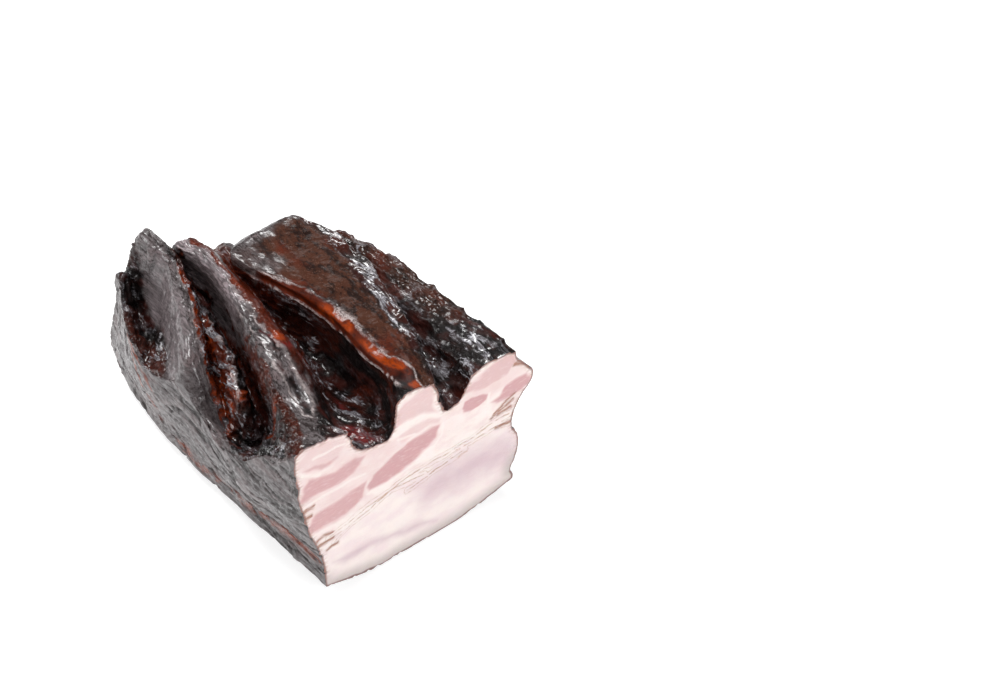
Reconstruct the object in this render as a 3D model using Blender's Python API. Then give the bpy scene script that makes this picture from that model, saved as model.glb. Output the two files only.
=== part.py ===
# Half a slab of smoked pork belly, lying on its rind with the cut face towards -Y.
# A lean layer with a deeply furrowed crust lies on a layer of fat, and both layers show at the cut.
# Lengths are millimetres in the slab's own frame and turn into metres when a mesh is made.
# In that frame x runs across the cut from its lower left corner, y from the cut back, z up from the table.
# A curve written as ((y, value), ...) is a smooth line through a few sizes along the slab.

import math

import bpy
import numpy as np

millimetre = 0.001
footprintMiddle = (43.4, 83.3, 0.0)  # becomes the origin, at table height
seamGap = 0.3  # kept between the two layers
seamLeft = 26.0  # seam height at the left side
seamRise = 10.0  # how much higher the seam runs from the middle to the right
flatHalfWidth = 14.0  # half of the flat strip that the slab rests on
flatCentre = 43.0
backPush = 8.0  # how far the back end bulges
backReach = 36.0
poleHeight = 24.0
settledHeight = 44.0  # height of the top where it meets the back end

rowCount = 38  # rows from the cut to the back end
domeRows = 6
counts = dict(leftUpper=4, rightUpper=7, rightLower=4, under=14, leftLower=4)
seamCount = 14

leftFoot = ((0, 0), (33, -0.6), (60, -1.3), (91, -1.4), (111, 0.4), (131, 3.4), (147, 7.2), (168, 14.6))
leftRim = ((0, -8.3), (37, -8), (55, -5), (70, -3.4), (94, -3), (115, -1.6), (130, 4), (141, 10), (152, 14.6))
rightFoot = ((0, 85.6), (60, 87), (110, 85), (150, 78))
rightRim = ((0, 87), (40, 87), (80, 85.5), (105, 81))
# how far back the top and the underside reach, as (x, y)
topReach = ((-10, 150), (14, 152), (31, 142), (47, 134), (62, 124), (76, 115), (95, 108))
underReach = ((0, 163), (20, 164), (45, 156), (70, 143), (95, 128))

# Each ridge of the crust is flat between its left and right edge, falls away beside them over
# fall = (left, right), and sinks from the first to the second y of its tip.
ridges = dict(
    rim=dict(
        left=((0, -8), (16, -8), (37, -7), (55, -4), (94, -3), (115, -1), (130, 4.5), (141, 10)),
        right=((0, 0), (16, -6), (37, -5), (55, -3), (94, -2), (115, 0.5), (130, 6.5), (141, 12.5)),
        top=((0, 73), (16, 60), (37, 47), (55, 40), (82, 46), (106, 37), (115, 43), (130, 49), (139, 57)),
        fall=(6, 3.5), tip=(137, 147),
    ),
    secondBlade=dict(
        left=((70, 2), (79, 4), (89, 8.5), (98, 13), (110, 18), (121, 22), (140, 21.5)),
        right=((70, 4), (79, 6), (89, 10.5), (98, 15), (110, 20.5), (121, 24.5), (140, 24.5)),
        top=((62, 34), (79, 59), (89, 64), (110, 69), (121, 71.5), (136, 74)),
        fall=(7.5, 4), tip=(135, 147),
    ),
    innerStep=dict(
        left=((60, 8), (77, 13), (95, 19), (118, 27)),
        right=((60, 11), (77, 17), (95, 22), (118, 29)),
        top=((48, 30), (58, 50), (66, 53), (95, 56), (118, 60)),
        fall=(3, 3), tip=(124, 136),
    ),
    thirdBlade=dict(
        left=((0, -7), (12, -1), (31, 11), (41, 17), (64, 26), (77, 30), (105, 37), (122, 34)),
        right=((0, 11), (12, 12), (31, 20), (41, 25), (64, 31), (77, 34), (105, 40), (122, 38)),
        top=((0, 73), (12, 69.5), (31, 67), (41, 70), (77, 72.5), (122, 73.5)),
        fall=(4, 5), tip=(121, 133),
    ),
    smallBlade=dict(
        left=((95, 42), (125, 46)),
        right=((95, 45), (125, 50)),
        top=((80, 40), (100, 58), (112, 65), (124, 64.5)),
        fall=(4, 4), tip=(117, 130),
    ),
    plateau=dict(
        left=((0, 35.5), (10, 42), (34, 47), (58, 49.5), (82, 46), (101, 45.5), (112, 50)),
        right=((0, 49.6), (12, 55), (36, 64), (56, 69), (76, 73), (96, 72), (112, 66)),
        top=((0, 73.5), (30, 73), (60, 73.6), (90, 74.5), (106, 76)),
        fall=(2.4, 2.6), tip=(103, 117),
    ),
    rightShelf=dict(
        left=((0, 70), (12, 74), (36, 77), (76, 79), (105, 76)),
        right=((0, 86), (40, 85), (80, 84), (105, 80)),
        top=((0, 67.5), (40, 68), (76, 67.5), (92, 66)),
        fall=(7, 6), tip=(90, 110),
    ),
)
# heights of the ground between the ridges, from the left side to the right side
floors = dict(
    hollow=((0, 60), (14, 60), (32, 48), (42, 36), (60, 33), (82, 40), (100, 37), (128, 36), (150, 44)),
    pocket=((0, 60), (14, 60), (32, 48), (42, 36), (60, 31), (90, 34), (115, 40), (140, 45)),
    trough=((0, 57.5), (15, 54), (35, 48), (60, 45), (90, 46)),
    channel=((0, 55), (12, 55), (36, 58), (76, 62), (96, 60), (112, 48)),
)
# The rows over the crust bend at these edges, so that mesh lines run along them, and each
# stretch has its own number of steps: (ridge, side, steps up to that edge).
crustEdges = (
    ("rim", "right", 2), ("secondBlade", "left", 8), ("secondBlade", "right", 2),
    ("innerStep", "left", 7), ("innerStep", "right", 3), ("thirdBlade", "left", 8),
    ("thirdBlade", "right", 6), ("plateau", "left", 14), ("plateau", "right", 7),
    ("rightShelf", "left", 8),
)
shelfSteps = 4
narrowest = 1.3  # least width of a stretch
ridgeSharpness = 7  # higher keeps the meeting of two ridges crisper
crown = 1.2  # how much a ridge's top drops from its middle to its edges
fallPower = 3.2
lumpHeight = 0.7


def follow(at, stations):
    # a smooth curve through the stations, level where they turn back, so it never overshoots
    ys, values = np.array(stations, float).T
    secant = np.diff(values) / np.diff(ys)
    slope = np.concatenate([secant[:1], (secant[1:] + secant[:-1]) / 2, secant[-1:]])
    slope[1:-1][secant[1:] * secant[:-1] <= 0] = 0
    at = np.clip(at, ys[0], ys[-1])
    i = np.clip(np.searchsorted(ys, at, side="right") - 1, 0, len(ys) - 2)
    width = ys[i + 1] - ys[i]
    f = (at - ys[i]) / width
    ends = (2 * f**3 - 3 * f**2 + 1) * values[i] + (3 * f**2 - 2 * f**3) * values[i + 1]
    slopes = (f**3 - 2 * f**2 + f) * slope[i] + (f**3 - f**2) * slope[i + 1]
    return ends + slopes * width


def ease(start, end, x):
    f = np.clip((x - start) / (end - start), 0, 1)
    return f * f * (3 - 2 * f)


def middleOf(name, y):
    return (follow(y, ridges[name]["left"]) + follow(y, ridges[name]["right"])) / 2


def floorHeight(x, y):
    # the four grounds in turn, each taking over across the ridge that parts it from the last
    height = follow(y, floors["hollow"])
    for name, ridge, width in (
        ("pocket", "secondBlade", 2), ("trough", "thirdBlade", 2), ("channel", "plateau", 3),
    ):
        centre = middleOf(ridge, y)
        height = height + (follow(y, floors[name]) - height) * ease(centre - width, centre + width, x)
    return height


def lumps(x, y):
    # crossed waves that wander along the slab
    first = np.sin(x / 3.1 + 1.5 * np.sin(y / 11)) * np.sin(y / 3.7 + 0.9 * np.sin(x / 6))
    second = np.sin(x / 5.3 - y / 4.1 + 2)
    return lumpHeight * (0.6 * first + 0.4 * second)


def topHeight(x, y):
    # the floor plus a soft maximum of what each ridge adds to it
    floor = floorHeight(x, y)
    total = np.full(floor.shape, 1e-9)
    for ridge in ridges.values():
        left, right, top = (follow(y, ridge[key]) for key in ("left", "right", "top"))
        outside = np.maximum((left - x) / ridge["fall"][0], (x - right) / ridge["fall"][1])
        start, end = ridge["tip"]
        sunk = np.clip((y - start) / (end - start), 0, 1)
        top = top - crown * np.clip((2 * x - left - right) / (right - left), -1, 1) ** 2
        rise = np.maximum(top - floor, 0) * np.sqrt(1 - sunk**2)
        total = total + (rise / (1 + np.maximum(outside, 0) ** fallPower)) ** ridgeSharpness
    return floor + total ** (1 / ridgeSharpness) + lumps(x, y) * ease(0, 12, y)


def leftLean(x, y):
    # how far the third blade and the plateau's lip hang over to the left at full height
    blade = 7.0 * np.exp(-(((x - middleOf("thirdBlade", y)) / 9) ** 2))
    lip = 3.5 * np.exp(-(((x - follow(y, ridges["plateau"]["left"])) / 6) ** 2))
    return ease(4, 34, y) * (blade + lip)


def seamHeight(x, y):
    return seamLeft + seamRise * ease(-5, 45, x) + np.sin(x / 9 + y / 31) + 0.8 * np.sin(y / 17)


def undersideHeight(x):
    # flat in the middle, then turned up a little towards both sides
    out = np.clip(np.abs(x - flatCentre) - flatHalfWidth, 0, None)
    return 5.6 * (out / 30) ** 1.6


def evenly(lines, count):
    # every line again with count steps of equal length along it
    out = np.empty((len(lines), count + 1, 3))
    for line, even in zip(lines, out):
        along = np.concatenate([[0], np.cumsum(np.linalg.norm(np.diff(line, axis=0), axis=1))])
        at = np.linspace(0, along[-1], count + 1)
        for axis in range(3):
            even[:, axis] = np.interp(at, along, line[:, axis])
    return out


def acrossAt(t, stations, reach, start=140.0):
    # where a line along the slab is at t, when the end it runs to depends on where it is across
    y = t * start
    for _ in range(4):
        x = follow(y, stations)
        y = t * follow(x, reach)
    return x, y


def crustPoints(x, t):
    y = t * follow(x, topReach)
    settle = ease(0.93, 1, t)
    height = topHeight(x, y)
    share = np.clip((height - floorHeight(x, y)) / 25, 0, 1.2)
    height = height + (settledHeight - height) * settle
    return np.stack([x - leftLean(x, y) * share * (1 - settle), y, height], -1)


def topSurface(t, fine=90):
    # rows over the crust from the left rim to the right rim, t from the cut to the back end
    lines = [acrossAt(t, leftRim, topReach)[0]]
    for name, side, _ in crustEdges:
        line = acrossAt(t, ridges[name][side], topReach)[0]
        lines.append(np.maximum(line, lines[-1] + narrowest))
    lines.append(acrossAt(t, rightRim, topReach)[0])
    steps = [edge[2] for edge in crustEdges] + [shelfSteps]
    s = np.linspace(0, 1, fine + 1)[None, :]
    stretches = [
        evenly(crustPoints(between(left, right, s), t), count)
        for left, right, count in zip(lines, lines[1:], steps)
    ]
    return np.concatenate([stretch[:, :-1] for stretch in stretches[:-1]] + [stretches[-1]], 1)


def footLine(t, stations):
    x, y = acrossAt(t, stations, underReach)
    return np.stack([x, y, undersideHeight(x)], -1)


def between(first, second, share):
    return first * (1 - share) + second * share


def leftFlank(foot, rim, h):
    # h is 0 at the foot and 1 at the rim, and the side leans out between them
    side = between(foot, rim, h)
    side[..., 0] = between(foot[..., 0], rim[..., 0], ease(0.1, 0.7, h[..., 0]))
    return side


def rightFlank(foot, rim, h, t):
    # two swellings with the seam's notch between them, flatter towards the back
    side = between(foot, rim, h)
    up = h[..., 0]
    swell = 8.5 * np.exp(-(((up - 0.76) / 0.13) ** 2)) + 2.6 * np.exp(-(((up - 0.27) / 0.13) ** 2))
    notch = 1.4 * np.exp(-(((up - 0.46) / 0.07) ** 2)) + 0.8 * np.exp(-(((up - 0.08) / 0.04) ** 2))
    side[..., 0] += (swell - notch) * (1 - 0.6 * ease(0.75, 1, t))
    return side


def bodyRings(rows, counts):
    # closed rings from the cut to the back end: up the left side, over the top, down and under
    t = np.linspace(0, 1, rows + 1)[:, None]
    top = topSurface(t)
    leftEdge, rightEdge = top[:, :1], top[:, -1:]
    leftLow, rightLow = footLine(t, leftFoot), footLine(t, rightFoot)

    def seamShare(low, high):
        return (seamHeight(low[..., 0], low[..., 1]) - low[..., 2]) / (high[..., 2] - low[..., 2])

    def steps(start, end, count):
        return (start + (end - start) * np.linspace(0, 1, count + 1)[None, :])[..., None]

    seamOnLeft, seamOnRight = seamShare(leftLow, leftEdge), seamShare(rightLow, rightEdge)
    leftUpper = leftFlank(leftLow, leftEdge, steps(seamOnLeft, 1, counts["leftUpper"]))
    rightUpper = rightFlank(rightLow, rightEdge, steps(1, seamOnRight, counts["rightUpper"]), t)
    rightLower = rightFlank(rightLow, rightEdge, steps(seamOnRight, 0, counts["rightLower"]), t)
    leftLower = leftFlank(leftLow, leftEdge, steps(0, seamOnLeft, counts["leftLower"]))
    across = np.linspace(0, 1, counts["under"] + 1)[None, :]
    x = between(rightLow[..., 0], leftLow[..., 0], across)
    y = t * follow(x, underReach)
    y[:, 0], y[:, -1] = rightLow[:, 0, 1], leftLow[:, 0, 1]
    under = np.stack([x, y, undersideHeight(x)], -1)
    parts = (leftUpper, top, rightUpper, rightLower, under, leftLower)
    return np.concatenate([part[:, :-1] for part in parts], 1)


def backRings(last, rows):
    # the last ring shrinks to a pole along a rounded profile and loses its bumps on the way
    smooth = last
    for _ in range(8 + int(3 * (len(last) / 100) ** 2)):
        smooth = (np.roll(smooth, 1, 0) + smooth + np.roll(smooth, -1, 0)) / 3
    pole = np.array([(last[:, 0].min() + last[:, 0].max()) / 2, last[:, 1].mean(), poleHeight])
    turn = np.linspace(0, math.pi / 2, 200)
    size, push = np.cos(turn) ** 0.62, np.sin(turn) ** 0.62
    size[-1] = 0
    along = np.cumsum(np.hypot(np.diff(size, prepend=1) * backReach, np.diff(push, prepend=0) * backPush))
    at = np.linspace(0, along[-1], rows + 1)[1:]
    size, push = np.interp(at, along, size)[:, None, None], np.interp(at, along, push)[:, None, None]
    base = between(last, smooth, ease(0, 1, 1 - size))
    rings = pole + (base - pole) * size + np.array([0.12, 0.95, 0.1]) * backPush * push
    return rings[:-1], rings[-1, 0], size[:-1, :, 0]


def layerRings(rings, sizes, first, last, side):
    # a layer's own rings: its stretch of the outside, closed along the seam
    outside = rings[:, np.arange(first, last + 1) % rings.shape[1]].copy()
    start, end = outside[:, -1:], outside[:, :1]
    share = np.linspace(0, 1, seamCount + 1)[None, 1:-1, None]
    seam = between(start, end, share)
    ends = between(seamHeight(start[..., 0], start[..., 1]), seamHeight(end[..., 0], end[..., 1]), share[..., 0])
    seam[..., 2] += (seamHeight(seam[..., 0], seam[..., 1]) - ends) * sizes
    half = side * seamGap / 2
    seam[..., 2] += half
    outside[:, [0, -1], 2] += half
    return np.concatenate([outside, seam], 1)


def makeLayer(name, rings, pole, material):
    rows, around = rings.shape[:2]
    points = np.concatenate([rings.reshape(-1, 3), [pole]])
    points = (points - np.array(footprintMiddle)) * millimetre
    i, j = np.meshgrid(np.arange(rows - 1) * around, np.arange(around), indexing="ij")
    after = (j + 1) % around
    quads = np.stack([i + j, i + after, i + around + after, i + around + j], -1).reshape(-1, 4)
    lastRow = (rows - 1) * around
    k = np.arange(around)
    fan = np.stack([np.full(around, len(points) - 1), lastRow + k, lastRow + (k + 1) % around], -1)
    cut = [list(range(around))[::-1]]
    mesh = bpy.data.meshes.new(name)
    mesh.from_pydata(points.tolist(), [], quads.tolist() + fan.tolist() + cut)
    mesh.shade_smooth()
    mesh.set_sharp_from_angle(angle=math.radians(50))
    mesh.materials.append(material)
    layer = bpy.data.objects.new(name, mesh)
    bpy.context.scene.collection.objects.link(layer)
    return layer


def makeMaterial(name, colour, roughness):
    material = bpy.data.materials.new(name)
    material.use_nodes = True
    shader = material.node_tree.nodes["Principled BSDF"]
    shader.inputs["Base Color"].default_value = (*colour, 1)
    shader.inputs["Roughness"].default_value = roughness
    shader.inputs["Metallic"].default_value = 0
    return material


for thing in list(bpy.data.objects):
    bpy.data.objects.remove(thing)

body = bodyRings(rowCount, counts)
back, pole, sizes = backRings(body[-1], domeRows)
rings = np.concatenate([body, back])
sizes = np.concatenate([np.ones((len(body), 1)), sizes])
crustSteps = sum(edge[2] for edge in crustEdges) + shelfSteps
leftSeam, rightSeam = 0, counts["leftUpper"] + crustSteps + counts["rightUpper"]
halfGap = np.array([0, 0, seamGap / 2])

lean = layerRings(rings, sizes, leftSeam, rightSeam, 1)
makeLayer("lean_layer", lean, pole + halfGap, makeMaterial("smoked_lean", (0.10, 0.035, 0.022), 0.35))
fat = layerRings(rings, sizes, rightSeam, rings.shape[1], -1)
makeLayer("fat_layer", fat, pole - halfGap, makeMaterial("fat_and_rind", (0.62, 0.42, 0.38), 0.45))
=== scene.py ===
import math
from types import SimpleNamespace

import bpy
import numpy as np
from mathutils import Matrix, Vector
from mathutils.geometry import delaunay_2d_cdt


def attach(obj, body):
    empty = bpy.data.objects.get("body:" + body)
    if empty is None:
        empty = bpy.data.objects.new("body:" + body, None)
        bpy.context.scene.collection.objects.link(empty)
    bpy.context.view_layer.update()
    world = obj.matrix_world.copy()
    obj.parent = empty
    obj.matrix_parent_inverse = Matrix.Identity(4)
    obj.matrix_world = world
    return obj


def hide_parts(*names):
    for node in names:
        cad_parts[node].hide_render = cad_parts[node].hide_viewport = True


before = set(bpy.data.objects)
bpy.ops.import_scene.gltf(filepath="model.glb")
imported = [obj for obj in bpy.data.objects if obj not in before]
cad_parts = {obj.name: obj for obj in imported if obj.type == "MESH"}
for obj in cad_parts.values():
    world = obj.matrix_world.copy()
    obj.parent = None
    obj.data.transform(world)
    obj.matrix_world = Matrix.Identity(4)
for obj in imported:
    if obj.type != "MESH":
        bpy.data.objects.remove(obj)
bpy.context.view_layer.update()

# Shapes are worked out in millimetres in the slab's own frame: x across the cut from its lower left
# corner, y from the cut back, z up from the table. inMetres() puts them where the solids are.
millimetre = 0.001
footprintMiddle = np.array([43.4, 83.3, 0.0])


def inMetres(points):
    # the point less the middle of the footprint, in metres
    return (np.asarray(points, float)[..., :3] - footprintMiddle) * millimetre


# the slab's form, as ((y, value), ...) curves along it; reaches are ((x, y), ...)
slab = dict(
    leftFoot=((0, 0), (33, -0.6), (60, -1.3), (91, -1.4), (111, 0.4), (131, 3.4), (147, 7.2), (168, 14.6)),
    leftRim=(
        (0, -8.3), (37, -8), (55, -5), (70, -3.4), (94, -3), (115, -1.6), (130, 4), (141, 10), (152, 14.6),
    ),
    rightFoot=((0, 85.6), (60, 87), (110, 85), (150, 78)),
    rightRim=((0, 87), (40, 87), (80, 85.5), (105, 81)),
    topReach=((-10, 150), (14, 152), (31, 142), (47, 134), (62, 124), (76, 115), (95, 108)),
    underReach=((0, 163), (20, 164), (45, 156), (70, 143), (95, 128)),
    seamLeft=26.0, seamRise=10.0,
    flatCentre=43.0, flatHalfWidth=14.0, upturn=5.6, upturnWidth=30, upturnPower=1.6,
    backPush=8.0, backReach=36.0, poleHeight=24.0, settledHeight=44.0,
)

# Each ridge of the crust is flat between its left and right edge, falls away beside them over
# fall = (left, right), and sinks from the first to the second y of its tip.
ridges = dict(
    rim=dict(
        left=((0, -8), (16, -8), (37, -7), (55, -4), (94, -3), (115, -1), (130, 4.5), (141, 10)),
        right=((0, 0), (16, -6), (37, -5), (55, -3), (94, -2), (115, 0.5), (130, 6.5), (141, 12.5)),
        top=((0, 73), (16, 60), (37, 47), (55, 40), (82, 46), (106, 37), (115, 43), (130, 49), (139, 57)),
        fall=(6, 3.5), tip=(137, 147),
    ),
    secondBlade=dict(
        left=((70, 2), (79, 4), (89, 8.5), (98, 13), (110, 18), (121, 22), (140, 21.5)),
        right=((70, 4), (79, 6), (89, 10.5), (98, 15), (110, 20.5), (121, 24.5), (140, 24.5)),
        top=((62, 34), (79, 59), (89, 64), (110, 69), (121, 71.5), (136, 74)),
        fall=(7.5, 4), tip=(135, 147),
    ),
    innerStep=dict(
        left=((60, 8), (77, 13), (95, 19), (118, 27)),
        right=((60, 11), (77, 17), (95, 22), (118, 29)),
        top=((48, 30), (58, 50), (66, 53), (95, 56), (118, 60)),
        fall=(3, 3), tip=(124, 136),
    ),
    thirdBlade=dict(
        left=((0, -7), (12, -1), (31, 11), (41, 17), (64, 26), (77, 30), (105, 37), (122, 34)),
        right=((0, 11), (12, 12), (31, 20), (41, 25), (64, 31), (77, 34), (105, 40), (122, 38)),
        top=((0, 73), (12, 69.5), (31, 67), (41, 70), (77, 72.5), (122, 73.5)),
        fall=(4, 5), tip=(121, 133),
    ),
    smallBlade=dict(
        left=((95, 42), (125, 46)),
        right=((95, 45), (125, 50)),
        top=((80, 40), (100, 58), (112, 65), (124, 64.5)),
        fall=(4, 4), tip=(117, 130),
    ),
    plateau=dict(
        left=((0, 35.5), (10, 42), (34, 47), (58, 49.5), (82, 46), (101, 45.5), (112, 50)),
        right=((0, 49.6), (12, 55), (36, 64), (56, 69), (76, 73), (96, 72), (112, 66)),
        top=((0, 73.5), (30, 73), (60, 73.6), (90, 74.5), (106, 76)),
        fall=(2.4, 2.6), tip=(103, 117),
    ),
    rightShelf=dict(
        left=((0, 70), (12, 74), (36, 77), (76, 79), (105, 76)),
        right=((0, 86), (40, 85), (80, 84), (105, 80)),
        top=((0, 67.5), (40, 68), (76, 67.5), (92, 66)),
        fall=(7, 6), tip=(90, 110),
    ),
)
floors = dict(
    hollow=((0, 60), (14, 60), (32, 48), (42, 36), (60, 33), (82, 40), (100, 37), (128, 36), (150, 44)),
    pocket=((0, 60), (14, 60), (32, 48), (42, 36), (60, 31), (90, 34), (115, 40), (140, 45)),
    trough=((0, 57.5), (15, 54), (35, 48), (60, 45), (90, 46)),
    channel=((0, 55), (12, 55), (36, 58), (76, 62), (96, 60), (112, 48)),
)

# How finely each stretch of a ring is cut: the crust's stretches end at these ridge edges, and its two
# pieces part troughSplit steps to the right of the third blade.
fineness = dict(
    rows=360, backRows=40, leftUpper=40, rightUpper=54, rightLower=44, under=84, leftLower=44,
    crust=(
        ("rim", "right", 9), ("secondBlade", "left", 34), ("secondBlade", "right", 9),
        ("innerStep", "left", 30), ("innerStep", "right", 12), ("thirdBlade", "left", 32),
        ("thirdBlade", "right", 28), ("plateau", "left", 74), ("plateau", "right", 44),
        ("rightShelf", "left", 34),
    ),
    shelf=18, backFade=0.96, troughSplit=26, seam=160, cutSpacing=0.55, narrowest=1.3,
)


crustForm = dict(ridgeSharpness=7, fallPower=3.2, crown=1.2, lumpHeight=0.7)


def follow(at, stations):
    # a smooth curve through the stations, level where they turn back, so it never overshoots
    ys, values = np.array(stations, float).T
    secant = np.diff(values) / np.diff(ys)
    slope = np.concatenate([secant[:1], (secant[1:] + secant[:-1]) / 2, secant[-1:]])
    slope[1:-1][secant[1:] * secant[:-1] <= 0] = 0
    at = np.clip(at, ys[0], ys[-1])
    i = np.clip(np.searchsorted(ys, at, side="right") - 1, 0, len(ys) - 2)
    width = ys[i + 1] - ys[i]
    f = (at - ys[i]) / width
    ends = (2 * f**3 - 3 * f**2 + 1) * values[i] + (3 * f**2 - 2 * f**3) * values[i + 1]
    slopes = (f**3 - 2 * f**2 + f) * slope[i] + (f**3 - f**2) * slope[i + 1]
    return ends + slopes * width


def ease(start, end, x):
    # 0 before start and 1 after end, three squares less two cubes of the share between
    f = np.clip((x - start) / (end - start), 0, 1)
    return f * f * (3 - 2 * f)


def between(first, second, share):
    # first at share 0, second at share 1, on a straight line
    return first * (1 - share) + second * share


def edgeOf(name, side, y):
    # a ridge's left or right edge as a smooth curve along the slab
    return follow(y, ridges[name][side])


def middleOf(name, y):
    # half way between a ridge's two edges
    return (edgeOf(name, "left", y) + edgeOf(name, "right", y)) / 2


def floorHeight(x, y):
    # the four grounds in turn, each taking over across the ridge that parts it from the last
    height = follow(y, floors["hollow"])
    for name, ridge, width in (
        ("pocket", "secondBlade", 2), ("trough", "thirdBlade", 2), ("channel", "plateau", 3),
    ):
        centre = middleOf(ridge, y)
        height = height + (follow(y, floors[name]) - height) * ease(centre - width, centre + width, x)
    return height


def lumps(x, y):
    # crossed waves that wander along the slab
    first = np.sin(x / 3.1 + 1.5 * np.sin(y / 11)) * np.sin(y / 3.7 + 0.9 * np.sin(x / 6))
    second = np.sin(x / 5.3 - y / 4.1 + 2)
    return crustForm["lumpHeight"] * (0.6 * first + 0.4 * second)


def topHeight(x, y):
    # the floor plus a soft maximum of what each ridge adds to it
    floor = floorHeight(x, y)
    total = np.full(floor.shape, 1e-9)
    sharpness = crustForm["ridgeSharpness"]
    for ridge in ridges.values():
        left, right, top = (follow(y, ridge[key]) for key in ("left", "right", "top"))
        outside = np.maximum((left - x) / ridge["fall"][0], (x - right) / ridge["fall"][1])
        start, end = ridge["tip"]
        sunk = np.clip((y - start) / (end - start), 0, 1)
        top = top - crustForm["crown"] * np.clip((2 * x - left - right) / (right - left), -1, 1) ** 2
        rise = np.maximum(top - floor, 0) * np.sqrt(1 - sunk**2)
        total = total + (rise / (1 + np.maximum(outside, 0) ** crustForm["fallPower"])) ** sharpness
    return floor + total ** (1 / sharpness) + lumps(x, y) * ease(0, 12, y)


overhang = dict(blade=7.0, bladeWidth=9, lip=3.5, lipWidth=6, start=(4, 34))


def leftLean(x, y):
    # how far the third blade and the plateau's lip hang over to the left at full height, a bell for each
    bladeAway = (x - middleOf("thirdBlade", y)) / overhang["bladeWidth"]
    lipAway = (x - edgeOf("plateau", "left", y)) / overhang["lipWidth"]
    both = overhang["blade"] * np.exp(-(bladeAway**2)) + overhang["lip"] * np.exp(-(lipAway**2))
    return ease(*overhang["start"], y) * both


def seamHeight(x, y):
    # the seam of lean and fat: it rises to the right by an ease and waves by two sines
    rise = slab["seamRise"] * ease(-5, 45, x)
    return slab["seamLeft"] + rise + np.sin(x / 9 + y / 31) + 0.8 * np.sin(y / 17)


def undersideHeight(x):
    # flat in the middle, then turned up towards both sides by a power of the distance
    out = np.clip(np.abs(x - slab["flatCentre"]) - slab["flatHalfWidth"], 0, None)
    return slab["upturn"] * (out / slab["upturnWidth"]) ** slab["upturnPower"]


def evenly(lines, count):
    # every line again with count steps of equal length along it; what else a point carries goes with it
    out = np.empty((len(lines), count + 1, lines.shape[2]))
    for line, even in zip(lines, out):
        along = np.concatenate([[0], np.cumsum(np.linalg.norm(np.diff(line[:, :3], axis=0), axis=1))])
        at = np.linspace(0, along[-1], count + 1)
        for k in range(lines.shape[2]):
            even[:, k] = np.interp(at, along, line[:, k])
    return out


def acrossAt(t, stations, reach, start=140.0):
    # where a line along the slab is at t, when the end it runs to depends on where it is across
    y = t * start
    for _ in range(4):
        x = follow(y, stations)
        y = t * follow(x, reach)
    return x, y


def crustPoints(x, t):
    # place on the crust, and as a fourth number x before the lean
    y = t * follow(x, slab["topReach"])
    settle = ease(0.93, 1, t)
    height = topHeight(x, y)
    share = np.clip((height - floorHeight(x, y)) / 25, 0, 1.2)
    height = height + (slab["settledHeight"] - height) * settle
    return np.stack([x - leftLean(x, y) * share * (1 - settle), y, height, x], -1)


def topSurface(t, fine=140):
    # rows over the crust from the left rim to the right rim, t from the cut to the back end
    lines = [acrossAt(t, slab["leftRim"], slab["topReach"])[0]]
    for name, side, _ in fineness["crust"]:
        line = acrossAt(t, ridges[name][side], slab["topReach"])[0]
        lines.append(np.maximum(line, lines[-1] + fineness["narrowest"]))
    lines.append(acrossAt(t, slab["rightRim"], slab["topReach"])[0])
    steps = [edge[2] for edge in fineness["crust"]] + [fineness["shelf"]]
    s = np.linspace(0, 1, fine + 1)[None, :]
    stretches = [
        evenly(crustPoints(between(left, right, s), t), count)
        for left, right, count in zip(lines, lines[1:], steps)
    ]
    return np.concatenate([stretch[:, :-1] for stretch in stretches[:-1]] + [stretches[-1]], 1)


def footLine(t, stations):
    # where a side meets the underside
    x, y = acrossAt(t, stations, slab["underReach"])
    return np.stack([x, y, undersideHeight(x), x], -1)


def leftFlank(foot, rim, h):
    # h is 0 at the foot and 1 at the rim, and the side leans out between them
    side = between(foot, rim, h)
    side[..., 0] = between(foot[..., 0], rim[..., 0], ease(0.1, 0.7, h[..., 0]))
    return side


# swellings and notches up the right side, as ((how far out in mm, share of the height, half width), ...)
rightBulges = ((8.5, 0.76, 0.13), (2.6, 0.27, 0.13), (-1.4, 0.46, 0.07), (-0.8, 0.08, 0.04))


def rightFlank(foot, rim, h, t):
    # a bell for each swelling and notch, flatter towards the back
    side = between(foot, rim, h)
    bulge = sum(out * np.exp(-(((h[..., 0] - height) / width) ** 2)) for out, height, width in rightBulges)
    side[..., 0] += bulge * (1 - 0.6 * ease(0.75, 1, t))
    return side


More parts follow.
